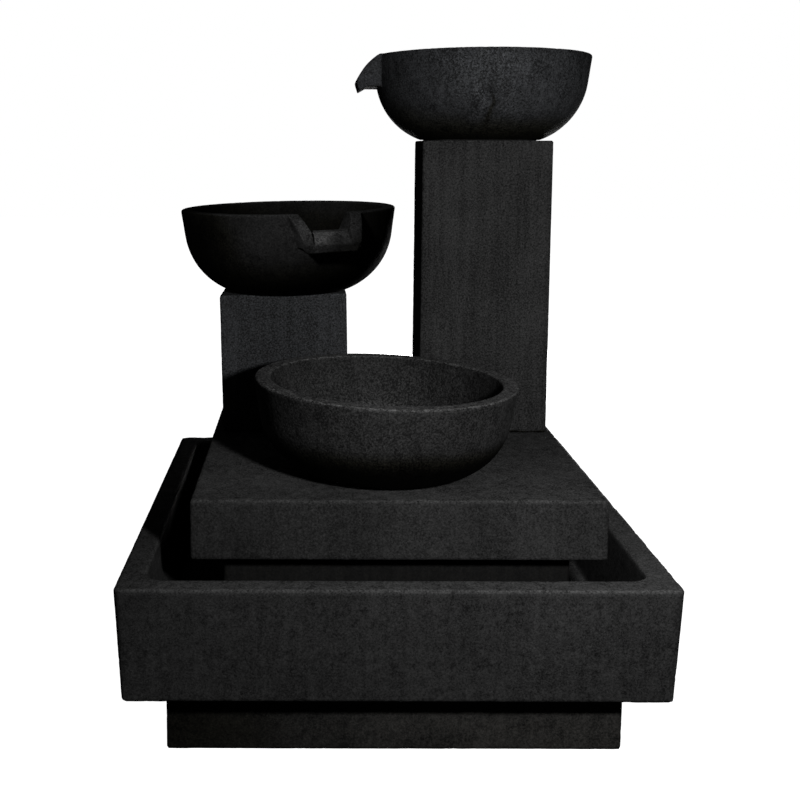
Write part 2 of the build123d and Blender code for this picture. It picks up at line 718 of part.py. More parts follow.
def make_volute_plate():
    """Front plate of the chamber: inlet eye, three spokes and the bushing's hub."""
    thickness = PUMP_FRONT_Y - PLATE_Y
    with BuildPart() as plate:
        with BuildSketch(cross_plane(PLATE_Y)):
            Circle(PLATE_R)
            Circle(PLATE_EYE_R, mode=Mode.SUBTRACT)
            with PolarLocations(PLATE_EYE_R / 2, SPOKE_COUNT, start_angle=90):
                Rectangle(SPOKE_LENGTH, SPOKE_WIDTH)
            Circle(HUB_R)
            Circle(BUSH_R, mode=Mode.SUBTRACT)
        extrude(amount=thickness)
    return plate.part


def make_outlet_adapter():
    """Barbed outlet that plugs into the housing's socket."""
    foot_z = PUMP_TOP_Z - OUTLET_SOCKET_DEPTH
    barbs_z = PUMP_TOP_Z + BARB_RISE
    with BuildPart() as adapter:
        add(ring(Plane((PUMP_X, COLUMN_Y, foot_z)), OUTLET_SOCKET_R, 0, barbs_z - foot_z))
        for index in range(BARB_COUNT):
            with Locations((PUMP_X, COLUMN_Y, barbs_z + (index + 0.5) * BARB_PITCH)):
                Cone(TUBE_BORE_R, BARB_NECK_R, BARB_PITCH)
        bore_length = barbs_z - foot_z + BARB_COUNT * BARB_PITCH
        add(ring(Plane((PUMP_X, COLUMN_Y, foot_z)), OUTLET_R, 0, bore_length), mode=Mode.SUBTRACT)
    return adapter.part


def make_suction_cups():
    """Four rubber cups that hold the pump on the basin floor."""
    centres = square_centres(CUP_SPREAD_X, CUP_SPREAD_Y, PUMP_X, (PUMP_BACK_Y + PUMP_FRONT_Y) / 2)
    skirt = PUMP_FOOT_GAP / 2
    with BuildPart() as cups:
        for x, y in centres:
            with Locations((x, y, POOL_FLOOR_Z + skirt / 2)):
                Cone(SEAT_PAD_R, HUB_R, skirt)
            with Locations((x, y, POOL_FLOOR_Z + skirt + skirt / 2)):
                Cylinder(HUB_R, skirt)
    return cups.part


def slot_row(height):
    """Five upright slots, shared by the cover and its slider."""
    with BuildSketch() as slots:
        with GridLocations(SLOT_PITCH, 0, SLOT_COUNT, 1):
            SlotOverall(height, SLOT_WIDTH, rotation=90)
    return slots.sketch


def make_pump_cover():
    """Pull-off intake cover with upright slots and two rails for the slider."""
    slots = slot_row(SLOT_HEIGHT)
    front_y = COVER_Y + COVER_DEPTH
    rail_z = SLIDER_HEIGHT / 2 + COVER_GAP + RAIL / 2
    with BuildPart() as cover:
        with BuildSketch(cross_plane(COVER_Y)):
            RectangleRounded(PUMP_WIDTH, PUMP_HEIGHT, PUMP_EDGE)
        extrude(amount=COVER_DEPTH)
        with BuildSketch(cross_plane(COVER_Y)):
            RectangleRounded(PUMP_WIDTH - 2 * COVER_SKIN, PUMP_HEIGHT - 2 * COVER_SKIN, PUMP_EDGE - COVER_SKIN)
        extrude(amount=COVER_DEPTH - COVER_SKIN, mode=Mode.SUBTRACT)
        with BuildSketch(cross_plane(front_y)):
            with Locations((0, rail_z), (0, -rail_z)):
                Rectangle(SLIDER_WIDTH + SLOT_PITCH, RAIL)
        extrude(amount=SLIDER_THICKNESS + 2 * COVER_GAP)
        with BuildSketch(cross_plane(front_y)):
            add(slots)
        extrude(amount=-COVER_DEPTH / 2, mode=Mode.SUBTRACT)
    return cover.part


def make_flow_slider():
    """Slotted shutter in front of the cover's slots, with a thumb rib."""
    slots = slot_row(SLOT_HEIGHT)
    back_y = COVER_Y + COVER_DEPTH + COVER_GAP
    rib_x = SLIDER_WIDTH / 2 - SLIDER_THICKNESS
    with BuildPart() as slider:
        with BuildSketch(cross_plane(back_y)):
            Rectangle(SLIDER_WIDTH, SLIDER_HEIGHT)
            add(slots, mode=Mode.SUBTRACT)
        extrude(amount=SLIDER_THICKNESS)
        with BuildSketch(cross_plane(back_y + SLIDER_THICKNESS)):
            with Locations((rib_x, 0)):
                Rectangle(SLIDER_THICKNESS, SLIDER_HEIGHT / 2)
        extrude(amount=SLIDER_GRIP)
    return slider.part


# ---------------------------------------------------------------- plumbing


def make_hose_clamps():
    """Worm-drive bands round both ends of the riser tube, each with its screw."""
    band_r = TUBE_R + CLAMP_THICKNESS
    with BuildPart() as clamps:
        for foot_z in (TUBE_FOOT_Z + CLAMP_RISE / 2, TUBE_TOP_Z - CLAMP_RISE / 2 - CLAMP_WIDTH):
            add(ring(Plane((PUMP_X, COLUMN_Y, foot_z)), band_r, TUBE_R, CLAMP_WIDTH))
            screw_y = COLUMN_Y + band_r + CLAMP_SCREW_R / 2
            with Locations(Location((PUMP_X, screw_y, foot_z + CLAMP_WIDTH / 2), (0, 90, 0))):
                Cylinder(CLAMP_SCREW_R, CLAMP_SCREW_LENGTH)
            add(ring(Plane((PUMP_X, COLUMN_Y, foot_z)), TUBE_R, 0, CLAMP_WIDTH), mode=Mode.SUBTRACT)
    return clamps.part


def make_bulkhead_stem():
    """Hollow stem through the top bowl's foot: flange inside the bowl, hose barb below."""
    floor_z = TOP_FOOT_Z + BOWL_FLOOR
    barb_top_z = TUBE_TOP_Z + BARB_RISE
    barb_foot_z = TUBE_TOP_Z - BARB_COUNT * BARB_PITCH
    with BuildPart() as stem:
        add(
            ring(
                Plane((PUMP_X, COLUMN_Y, barb_foot_z)),
                TUBE_BORE_R - STEM_FIT,
                0,
                barb_top_z - barb_foot_z,
            )
        )
        add(ring(Plane((PUMP_X, COLUMN_Y, barb_top_z)), STEM_R, 0, floor_z + WASHER - barb_top_z))
        add(ring(Plane((PUMP_X, COLUMN_Y, floor_z + WASHER)), STEM_FLANGE_R, 0, STEM_FLANGE))
        bore_length = floor_z + WASHER + STEM_FLANGE - barb_foot_z
        add(ring(Plane((PUMP_X, COLUMN_Y, barb_foot_z)), OUTLET_R, 0, bore_length), mode=Mode.SUBTRACT)
    return stem.part


def make_bulkhead_nut():
    """Hexagonal nut under the top bowl's foot, inside the column's channel."""
    with BuildPart() as nut:
        with BuildSketch(Plane((PUMP_X, COLUMN_Y, TOP_FOOT_Z - WASHER - NUT_THICKNESS))):
            RegularPolygon(NUT_R, NUT_SIDES)
            Circle(STEM_R, mode=Mode.SUBTRACT)
        extrude(amount=NUT_THICKNESS)
    return nut.part


def make_bulkhead_washers():
    """Rubber washers above and below the top bowl's foot."""
    with BuildPart() as washers:
        for foot_z in (TOP_FOOT_Z + BOWL_FLOOR, TOP_FOOT_Z - WASHER):
            add(ring(Plane((PUMP_X, COLUMN_Y, foot_z)), WASHER_R, STEM_R, WASHER))
    return washers.part


# ---------------------------------------------------------------- build and write

os.makedirs("parts", exist_ok=True)

plinth_pad_half = (PLINTH_SIDE - PLINTH_WALL) / 2
pedestal_pad_half = (PEDESTAL_SIDE - PEDESTAL_WALL) / 2
column_pad_half_y = (COLUMN_DEPTH - COLUMN_CORE) / 4 + COLUMN_CORE / 2
short_pads_xy = square_centres(
    SHORT_COLUMN_WIDTH / 2 - 2 * SEAT_PAD_R, column_pad_half_y, SHORT_COLUMN_X, COLUMN_Y
)
tall_pads_xy = square_centres(
    TALL_COLUMN_WIDTH / 2 - 2 * SEAT_PAD_R, column_pad_half_y, TALL_COLUMN_X, COLUMN_Y
)
slab_top = Plane.XY.offset(SLAB_TOP_Z)
short_column_top = Plane(SHORT_COLUMN_PLACE).offset(SHORT_COLUMN_HEIGHT)
tall_column_top = Plane.XY.offset(TALL_COLUMN_TOP_Z)
tall_column_height = TALL_COLUMN_TOP_Z - TALL_COLUMN_FOOT_Z

finish(hollow_block(PLINTH_SIDE, PLINTH_WALL, 0, PLINTH_HEIGHT, 0), "plinth")
finish(
    flat_pads(square_centres(plinth_pad_half, plinth_pad_half, 0, 0), PLINTH_HEIGHT, PAD_THICKNESS),
    "basin_pads",
)
finish(make_basin(), "basin")
finish(make_drain_plug(), "drain_plug")
finish(make_grommet(), "cord_grommet")
finish(make_pedestal(), "pump_pedestal")
finish(
    flat_pads(
        square_centres(pedestal_pad_half, pedestal_pad_half, STACK_X, 0), PEDESTAL_TOP_Z, PAD_THICKNESS
    ),
    "slab_pads",
)
finish(make_slab(), "slab")
with BuildPart() as column_pads:
    add(pads_between(short_pads_xy, slab_top, Plane(SHORT_COLUMN_PLACE), 0))
    add(flat_pads(tall_pads_xy, SLAB_TOP_Z, COLUMN_PAD_THICKNESS))
finish(column_pads.part, "column_pads")
short_column = make_column(
    SHORT_COLUMN_WIDTH,
    SHORT_COLUMN_HEIGHT,
    (-SHORT_CORE_X, SHORT_CORE_X),
    SHORT_COLUMN_HEIGHT - SHORT_CORE_CAP,
)
finish(placed(short_column, SHORT_COLUMN_PLACE), "short_column")
tall_column = make_column(TALL_COLUMN_WIDTH, tall_column_height, (0,), tall_column_height)
finish(placed(tall_column, TALL_COLUMN_PLACE), "tall_column")
finish(placed(spouted_bowl(STEM_HOLE_R), TOP_PLACE), "top_bowl")
finish(placed(spouted_bowl(0), MIDDLE_PLACE), "middle_bowl")
finish(placed(plain_bowl(), LOWER_PLACE), "lower_bowl")
finish(seat_ring(TOP_PLACE, BOWL_FOOT_R, tall_column_top), "top_bowl_seat")
finish(seat_ring(MIDDLE_PLACE, BOWL_FOOT_R, short_column_top), "middle_bowl_seat")
shims = pads_between(foot_ring(LOWER_PLACE, LOWER_FOOT_R), slab_top, Plane(LOWER_PLACE), SEAT_GAP)
finish(shims, "lower_bowl_shims")

finish(make_pump_housing(), "pump_housing")
finish(make_back_plate(), "pump_back_plate")
finish(make_cord_gland(), "pump_cord_gland")
finish(make_stator_core(), "stator_core")
finish(make_stator_coil(), "stator_coil")
finish(make_volute_plate(), "volute_plate")
finish(
    ring(cross_plane(PUMP_FRONT_Y - SEAL_DEPTH), SEAL_OUTER_R, SEAL_INNER_R, SEAL_DEPTH),
    "chamber_seal",
)
finish(ring(cross_plane(WELL_END_Y), SHAFT_R, 0, PLATE_Y + BUSH_LENGTH - WELL_END_Y), "rotor_shaft")
finish(make_bushings(), "shaft_bushings")
finish(ring(cross_plane(MAGNET_Y), MAGNET_R, SHAFT_R + SHAFT_FIT, MAGNET_LENGTH), "rotor_magnet")
finish(make_impeller(), "impeller")
finish(make_pump_cover(), "pump_cover")
finish(make_flow_slider(), "flow_slider")
finish(make_suction_cups(), "suction_cups")
finish(make_outlet_adapter(), "outlet_adapter")

tube_foot = Plane((PUMP_X, COLUMN_Y, TUBE_FOOT_Z))
finish(ring(tube_foot, TUBE_R, TUBE_BORE_R, TUBE_TOP_Z - TUBE_FOOT_Z), "riser_tube")
finish(make_hose_clamps(), "hose_clamps")
finish(make_bulkhead_stem(), "bulkhead_stem")
finish(make_bulkhead_nut(), "bulkhead_nut")
finish(make_bulkhead_washers(), "bulkhead_washers")
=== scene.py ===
"""Looks of the tiered water fountain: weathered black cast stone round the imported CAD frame.

Each casting is a detailed copy of its CAD node: the node's mesh is remeshed into small even quads,
then worn inwards with pits, trowel marks and chipped arrises, so it never grows past the CAD shape.
Everything is in metres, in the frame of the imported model: +X right, +Y back, +Z up.
"""

import itertools
import json
import math

import bpy
import numpy as np
from mathutils import Euler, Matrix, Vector


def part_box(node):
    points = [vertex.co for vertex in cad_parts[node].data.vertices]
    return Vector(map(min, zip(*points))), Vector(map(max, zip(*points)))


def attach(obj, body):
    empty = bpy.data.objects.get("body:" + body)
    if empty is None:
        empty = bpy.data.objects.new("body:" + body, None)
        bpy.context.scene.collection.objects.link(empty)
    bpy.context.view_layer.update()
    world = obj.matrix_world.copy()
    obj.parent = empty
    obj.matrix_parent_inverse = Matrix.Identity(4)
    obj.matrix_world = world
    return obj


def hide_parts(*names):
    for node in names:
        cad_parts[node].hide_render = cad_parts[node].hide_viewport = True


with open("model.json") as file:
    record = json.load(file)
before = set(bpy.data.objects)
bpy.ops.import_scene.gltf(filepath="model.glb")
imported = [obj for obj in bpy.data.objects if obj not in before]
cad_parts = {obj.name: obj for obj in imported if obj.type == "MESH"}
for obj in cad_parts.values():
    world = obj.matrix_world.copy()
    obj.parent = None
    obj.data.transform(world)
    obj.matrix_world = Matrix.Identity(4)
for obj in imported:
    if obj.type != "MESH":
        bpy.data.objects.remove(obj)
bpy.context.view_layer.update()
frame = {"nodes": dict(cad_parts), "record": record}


# ---------------------------------------------------------------- seeded noise on points

LATTICE = 64  # cells along each side of the repeating table of random numbers
SHIFT = 17.37  # cells; keeps the object's own origin away from a lattice corner


def random_table(seed, channels):
    """Seeded random numbers from 0 to 1 on a repeating cubic lattice."""
    return np.random.default_rng(seed).random((LATTICE, LATTICE, LATTICE, channels), dtype=np.float32)


def lumps(points, size, seed):
    """Smooth noise from 0 to 1, with lumps about `size` metres across (one size, or one for each axis)."""
    table = random_table(seed, 1)[..., 0]
    q = points / np.asarray(size) + SHIFT
    cell = np.floor(q).astype(np.int64)
    ease = q - cell
    ease = ease * ease * (3 - 2 * ease)
    total = np.zeros(len(points))
    for corner in itertools.product((0, 1), repeat=3):
        index = (cell + corner) % LATTICE
        share = np.prod(np.where(corner, ease, 1 - ease), axis=1)
        total += share * table[index[:, 0], index[:, 1], index[:, 2]]
    return total


def rough_lumps(points, size, seed, octaves=3):
    """Lumps with finer lumps on them, each octave half as large and half as strong."""
    total, weight = np.zeros(len(points)), 0.0
    for octave in range(octaves):
        share = 0.5**octave
        total += share * lumps(points, np.asarray(size) * share, seed + octave)
        weight += share
    return total / weight


def pits(points, spacing, filled, seed):
    """1 at the bottom of round pits and 0 between them. `filled` is the share of cells that hold a pit."""
    table = random_table(seed, 5)
    q = points / spacing + SHIFT
    home = np.floor(q).astype(np.int64)
    deepest = np.zeros(len(points))
    for step in itertools.product((-1, 0, 1), repeat=3):
        cell = home + step
        index = cell % LATTICE
        draw = table[index[:, 0], index[:, 1], index[:, 2]]
        gap = np.linalg.norm(q - (cell + draw[:, :3]), axis=1)
        radius = 0.25 + 0.35 * draw[:, 3]
        depth = np.clip(1 - gap / radius, 0, 1) * (draw[:, 4] < filled)
        deepest = np.maximum(deepest, depth)
    return deepest


def ramp(values, low, high):
    """0 below low, 1 above high and a smooth step between."""
    t = np.clip((values - low) / (high - low), 0, 1)
    return t * t * (3 - 2 * t)


# ---------------------------------------------------------------- castings worn out of the CAD shapes

SOFTEN_STEPS = 2  # smoothing passes that even out the quads before they are laid back on the CAD shape
CONVEXITY_STEPS = 10  # smoothing passes that a point is compared with to find the arrises
AT_REST_SHARE = 35  # percent of a casting's surface that the broad wear leaves where the CAD shape is
ARRIS_PULL = 0.45  # how far one smoothing pass pulls a sharp arris in, in quads
ARRIS_RANGE = (0.25, 0.8)  # convexity where an arris starts and where it is full
PAINTED_TOP_LIGHT_RANGE = (0.35, 0.95)  # how far up a face looks where the painted light from above starts and where it is full
MARK_WANDER = 0.05  # metres that the edge of a mark wanders

# Sizes in metres of the lumps that each kind of wear is made of.
UNDULATION = 0.09
TROWEL = (0.016, 0.016, 0.009)
PITTED_ZONE = 0.07
CHIP = 0.014


def even_quads(node, quad):
    """A new mesh with the shape of a CAD node, in even quads of that size."""
    source = bpy.data.objects.new("even_quads", frame["nodes"][node].data.copy())
    bpy.context.scene.collection.objects.link(source)
    voxels = source.modifiers.new("voxels", "REMESH")
    voxels.mode = "VOXEL"
    voxels.voxel_size = quad
    soften = source.modifiers.new("soften", "SMOOTH")
    soften.factor = 0.5
    soften.iterations = SOFTEN_STEPS
    fit = source.modifiers.new("fit", "SHRINKWRAP")
    fit.target = frame["nodes"][node]
    fit.wrap_method = "NEAREST_SURFACEPOINT"
    depsgraph = bpy.context.evaluated_depsgraph_get()
    mesh = bpy.data.meshes.new_from_object(source.evaluated_get(depsgraph))
    bpy.data.objects.remove(source)
    mesh.materials.clear()
    return mesh


def vertex_array(mesh, what, width=3):
    """A mesh's vertex positions or normals as an array of rows."""
    values = np.empty(len(mesh.vertices) * width, np.float32)
    getattr(mesh, what).foreach_get("co" if what == "vertices" else "vector", values)
    return values.reshape(-1, width).astype(np.float64)


def neighbour_mean(values, edges):
    """Each vertex's mean over its neighbours, for rows of values."""
    count = np.bincount(edges.ravel(), minlength=len(values))
    columns = []
    for column in values.T:
        total = np.bincount(edges[:, 0], weights=column[edges[:, 1]], minlength=len(values))
        total += np.bincount(edges[:, 1], weights=column[edges[:, 0]], minlength=len(values))
        columns.append(total / np.maximum(count, 1))
    return np.stack(columns, axis=1)


def convexity(mesh, points, normals, quad):
    """About 1 on a sharp outer arris, 0 on a flat face and below 0 in an inner corner."""
    edges = np.empty(len(mesh.edges) * 2, np.int32)
    mesh.edges.foreach_get("vertices", edges)
    edges = edges.reshape(-1, 2)
    smooth = points.copy()
    for _ in range(CONVEXITY_STEPS):
        smooth = 0.5 * smooth + 0.5 * neighbour_mean(smooth, edges)
    stands_proud = np.einsum("ij,ij->i", points - smooth, normals)
    return stands_proud / (ARRIS_PULL * quad * math.sqrt(CONVEXITY_STEPS))


def set_point_value(mesh, name, values):
    """Stores one number per vertex, which the material reads by that name."""
    attribute = mesh.attributes.new(name, "FLOAT", "POINT")
    attribute.data.foreach_set("value", values.astype(np.float32))


def patina(points, normals, seed, marks, painted_top_light, painted_underside_shade, painted_shade_ramp):
    """How light the patina is at each point, 1 on a plain upright face.

    Painted light from above lightens faces that look up by `painted_top_light`; painted shade darkens faces
    that look down by `painted_underside_shade`. The two numbers of `painted_shade_ramp` are how far down a
    face looks where that shade starts and where it is full. Each of the marks is an oval patch of painted
    light or shade (centre, reach, strength): above 0 lightens, below 0 darkens.
    """
    upward = normals[:, 2]
    # Painted light on faces that look up and painted shade on faces that look down.
    level = 1 + (painted_top_light - 1) * ramp(upward, *PAINTED_TOP_LIGHT_RANGE)
    level *= 1 - (1 - painted_underside_shade) * ramp(-upward, *painted_shade_ramp)
    drift = [rough_lumps(points, MARK_WANDER, seed + 60 + axis, 3) - 0.5 for axis in range(3)]
    wander = MARK_WANDER * np.stack(drift, axis=1)
    strength = np.zeros(len(points))
    for centre, reach, gain in marks:
        offset = (points + wander - np.array(centre)) / np.array(reach)
        strength += gain * np.exp(-np.einsum("ij,ij->i", offset, offset))
    return level * np.exp(strength)


def worn_casting(node, quad, seed, wave, rough, pit_size, pit_depth, pit_share, chip, **shade):
    """A stone casting in the shape of a CAD node, worn inwards. Depths and sizes are in metres.

    wave, rough, pit_depth and chip are the depths of the broad undulation, the trowel marks, the pits
    and the chipped arrises. pit_share is the share of cells that hold a pit. shade goes to patina().
    """
    mesh = even_quads(node, quad)
    points = vertex_array(mesh, "vertices")
    normals = vertex_array(mesh, "vertex_normals")
    proud = convexity(mesh, points, normals, quad)
    arris = ramp(proud, *ARRIS_RANGE)

    undulation = wave * rough_lumps(points, UNDULATION, seed, 2)
    trowel = rough * rough_lumps(points, TROWEL, seed + 10)
    pitted_zone = ramp(rough_lumps(points, PITTED_ZONE, seed + 20, 2), 0.35, 0.62)
    pitting = pits(points, pit_size, pit_share, seed + 30) * (0.35 + 0.65 * pitted_zone)
    fine_pitting = pits(points, 0.5 * pit_size, pit_share, seed + 40)
    chipping = arris * ramp(rough_lumps(points, CHIP, seed + 50), 0.5, 0.8)

    broad = undulation + trowel
    broad = np.maximum(broad - np.percentile(broad, AT_REST_SHARE), 0)
    inwards = broad + pit_depth * (pitting + 0.45 * fine_pitting) + chip * chipping
    worn = points - normals * inwards[:, None]
    low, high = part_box(node)
    worn = np.clip(worn, np.array(low), np.array(high))
    mesh.vertices.foreach_set("co", worn.astype(np.float32).ravel())
    mesh.update()
    mesh.shade_smooth()

    set_point_value(mesh, "arris", np.clip(proud, -1, 1))
    set_point_value(mesh, "pitted", np.clip(pitting + 0.6 * fine_pitting + chipping, 0, 1))
    set_point_value(mesh, "speckled", pitted_zone)
    # Painted light and shade, one number to a point, for the material.
    set_point_value(mesh, "patina", patina(points, normals, seed, **shade))
    casting = bpy.data.objects.new(f"{node}_stone", mesh)
    bpy.context.scene.collection.objects.link(casting)
    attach(casting, body_of_node[node])
    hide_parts(node)
    return casting


body_of_node = {n: body for body, nodes in frame["record"]["behaviour"]["bodies"].items() for n in nodes}


# ---------------------------------------------------------------- material nodes


def add(tree, kind, inputs=None, **settings):
    """A new node. A value in inputs is a number or colour, or the socket that feeds that input."""
    node = tree.nodes.new(kind)
    for name, value in settings.items():
        setattr(node, name, value)
    for name, value in (inputs or {}).items():
        if isinstance(value, bpy.types.NodeSocket):
            tree.links.new(value, node.inputs[name])
        else:
            node.inputs[name].default_value = value
    return node


def noise(tree, where, scale, detail=3.0, roughness=0.5):
    """Noise from 0 to 1 with lumps about 1 / scale metres across."""
    inputs = {"Vector": where, "Scale": scale, "Detail": detail, "Roughness": roughness}
    return add(tree, "ShaderNodeTexNoise", inputs).outputs["Fac"]


def stretched(tree, where, stretch):
    """Coordinates squeezed along each axis, so that noise on them is stretched out."""
    return add(tree, "ShaderNodeMapping", {"Vector": where, "Scale": stretch}).outputs["Vector"]


def maths(tree, operation, a, b=0.5, clamp=False):
    """One Math node's result."""
    node = add(tree, "ShaderNodeMath", {0: a, 1: b}, operation=operation)
    node.use_clamp = clamp
    return node.outputs[0]


def between(tree, value, low, high, to_low=0.0, to_high=1.0):
    """Maps low..high to to_low..to_high, clamped, with a smooth step."""
    inputs = {"Value": value, "From Min": low, "From Max": high, "To Min": to_low, "To Max": to_high}
    return add(tree, "ShaderNodeMapRange", inputs, interpolation_type="SMOOTHSTEP").outputs["Result"]


def mix_colour(tree, share, a, b):
    """Colour a where share is 0 and b where it is 1."""
    node = add(tree, "ShaderNodeMix", data_type="RGBA")
    for socket, value in zip((node.inputs[0], node.inputs[6], node.inputs[7]), (share, a, b)):
        if isinstance(value, bpy.types.NodeSocket):
            tree.links.new(value, socket)
        else:
            socket.default_value = value
    return node.outputs[2]


def new_material(name):
    """An empty node material with a Principled shader. Returns (material, tree, shader)."""
    material = bpy.data.materials.new(name)
    material.use_nodes = True
    tree = material.node_tree
    tree.nodes.clear()
    shader = add(tree, "ShaderNodeBsdfPrincipled")
    output = add(tree, "ShaderNodeOutputMaterial")
    tree.links.new(shader.outputs[0], output.inputs["Surface"])
    return material, tree, shader


def object_coordinates(tree):
    return add(tree, "ShaderNodeTexCoord").outputs["Object"]


def grey(level, tint=(1.0, 1.0, 1.0)):
    return (level * tint[0], level * tint[1], level * tint[2], 1.0)


# Noise in the patina: lumps to the metre, detail and roughness.
SAND = (620.0, 2.0, 0.6)
GRIT = (300.0, 3.0, 0.7)
MOTTLE = (70.0, 4.0, 0.6)
CLOUD = (9.0, 3.0, 0.6)
RUN = (90.0, 4.0, 0.6)
RUN_STRETCH = (1.0, 1.0, 0.06)  # draws the runs out downwards

# How far each takes the tone up and down. Clouds and runs differ from piece to piece.
SAND_STRENGTH = 0.35
GRIT_STRENGTH = 0.55
MOTTLE_STRENGTH = 0.25
ARRIS_LIGHTENING = 0.35  # how much lighter the tone is on an arris, in patches
DARKEST = 0.12  # the grain takes the tone no lower than this


def stone_material(name, tone, tint, streaks=0.15, clouds=0.2, speckle=0.45, grain=1.0):
    """Black patina on cast stone. tone is its mean reflectance, and the others say how strong each kind
    of mark is: streaks running down, broad clouds, dark pits with pale flecks, and the sandy grain.
    """
    material, tree, shader = new_material(name)
    where = object_coordinates(tree)
    arris = add(tree, "ShaderNodeAttribute", attribute_name="arris").outputs["Fac"]
    pitted = add(tree, "ShaderNodeAttribute", attribute_name="pitted").outputs["Fac"]
    speckled = add(tree, "ShaderNodeAttribute", attribute_name="speckled").outputs["Fac"]
    painted_light_level = add(tree, "ShaderNodeAttribute", attribute_name="patina").outputs["Fac"]

    sand = noise(tree, where, *SAND)
    grit = noise(tree, where, *GRIT)
    mottle = noise(tree, where, *MOTTLE)
    cloud = noise(tree, where, *CLOUD)
    run = noise(tree, stretched(tree, where, RUN_STRETCH), *RUN)

    # Each noise is spread out round 0 and added to an even level of 1.
    level = 1.0
    textures = (
        (sand, SAND_STRENGTH * grain),
        (grit, GRIT_STRENGTH * grain),
        (mottle, MOTTLE_STRENGTH),
        (cloud, clouds),
        (run, streaks),
    )
    for texture, strength in textures:
        level = maths(tree, "ADD", level, between(tree, texture, 0.3, 0.7, -strength, strength))
    lighter_arris = maths(tree, "MULTIPLY", between(tree, arris, 0.1, 0.8), between(tree, grit, 0.35, 0.6))
    level = maths(tree, "ADD", level, maths(tree, "MULTIPLY", lighter_arris, ARRIS_LIGHTENING))
    level = maths(tree, "SUBTRACT", level, maths(tree, "MULTIPLY", pitted, speckle))
    fleck = maths(tree, "MULTIPLY", between(tree, grit, 0.56, 0.7), speckled)
    level = maths(tree, "ADD", level, maths(tree, "MULTIPLY", fleck, speckle))
    level = maths(tree, "MAXIMUM", level, DARKEST)
    # Painted light and shade from the point value: lighter on upward faces, darker on downward faces and in
    # the painted patches; where it is darkest, the colour takes the olive tint.
    level = maths(tree, "MULTIPLY", level, painted_light_level)
    painted_shade_ramp = between(tree, painted_light_level, 0.15, 0.7)
    shade = mix_colour(tree, painted_shade_ramp, grey(tone, PAINTED_SHADE_TINT), grey(tone, tint))
    colour = add(tree, "ShaderNodeVectorMath", {0: shade, "Scale": level}, operation="SCALE").outputs[0]
    tree.links.new(colour, shader.inputs["Base Color"])

    rough = between(tree, mottle, 0.3, 0.7, 0.72, 0.9)
    tree.links.new(rough, shader.inputs["Roughness"])
    # The specular level follows the painted light too: less sheen in the painted shade.
    specular = between(tree, painted_light_level, 0.1, 0.9, 0.04, 0.3)
    tree.links.new(specular, shader.inputs["Specular IOR Level"])

    height = maths(tree, "ADD", maths(tree, "MULTIPLY", sand, 0.35), maths(tree, "MULTIPLY", grit, 0.9))
    bump = add(tree, "ShaderNodeBump", {"Height": height, "Strength": 0.5, "Distance": 0.001})
    tree.links.new(bump.outputs["Normal"], shader.inputs["Normal"])
    return material


def made_material(name, colour, roughness, metallic=0.0, grain=900.0, contrast=0.25, brushed=None):
    """A moulded, cast or drawn material: an even colour with fine grain in tone, sheen and relief."""
    material, tree, shader = new_material(name)
    where = object_coordinates(tree)
    if brushed:
        where = stretched(tree, where, brushed)
    fine = noise(tree, where, grain, 3.0, 0.6)
    broad = noise(tree, where, grain * 0.06, 3.0, 0.5)
    low = tuple(value * (1 - contrast) for value in colour) + (1.0,)
    high = tuple(min(value * (1 + contrast), 1.0) for value in colour) + (1.0,)
    both = maths(tree, "ADD", maths(tree, "MULTIPLY", fine, 0.5), maths(tree, "MULTIPLY", broad, 0.5))
    tree.links.new(mix_colour(tree, between(tree, both, 0.35, 0.65), low, high), shader.inputs["Base Color"])
    sheen = between(tree, both, 0.3, 0.7, roughness - 0.06, roughness + 0.08)
    tree.links.new(sheen, shader.inputs["Roughness"])
    shader.inputs["Metallic"].default_value = metallic
    bump = add(tree, "ShaderNodeBump", {"Height": fine, "Strength": 0.25, "Distance": 0.0003})
    tree.links.new(bump.outputs["Normal"], shader.inputs["Normal"])
    return material


# ---------------------------------------------------------------- the parts that keep their CAD mesh

slot_materials = {
    "pad_rubber": made_material("pad_rubber_matt", (0.012, 0.012, 0.012), 0.85),
    "plug_rubber": made_material("plug_rubber_moulded", (0.02, 0.02, 0.021), 0.6),
    "pump_plastic": made_material("pump_plastic_grained", (0.03, 0.03, 0.033), 0.5, contrast=0.15),
    "impeller_plastic": made_material("impeller_plastic_smooth", (0.16, 0.17, 0.18), 0.38, contrast=0.08),
    "electrical_steel": made_material(
        "electrical_steel_stacked", (0.33, 0.34, 0.36), 0.4, 1.0, 1500.0, 0.3, brushed=(0.02, 1.0, 0.02)
    ),
    "copper_winding": made_material(
        "copper_winding_wire", (0.55, 0.24, 0.1), 0.35, 1.0, 1200.0, 0.4, brushed=(0.03, 0.03, 1.0)
    ),
    "shaft_ceramic": made_material("shaft_ceramic_ground", (0.82, 0.81, 0.77), 0.25, contrast=0.04),
    "magnet": made_material("magnet_ferrite", (0.09, 0.09, 0.095), 0.45, 0.4),
    "hose_vinyl": made_material("hose_vinyl_smooth", (0.05, 0.05, 0.05), 0.32, contrast=0.1),
    "clamp_steel": made_material(
        "clamp_steel_band", (0.6, 0.6, 0.6), 0.3, 1.0, 1500.0, 0.12, brushed=(0.05, 0.05, 1.0)
    ),
}

for subpart in frame["record"]["subparts"]:
    if subpart["material_slot"] in slot_materials:
        mesh = frame["nodes"][subpart["node"]].data
        mesh.materials.clear()
        mesh.materials.append(slot_materials[subpart["material_slot"]])


# ---------------------------------------------------------------- the castings

COOL = (0.96, 1.0, 1.07)
NEUTRAL = (1.0, 1.0, 1.0)
WARM = (1.04, 1.0, 0.93)
# Olive tint of the stone in its painted shade.
PAINTED_SHADE_TINT = (1.08, 1.04, 0.78)

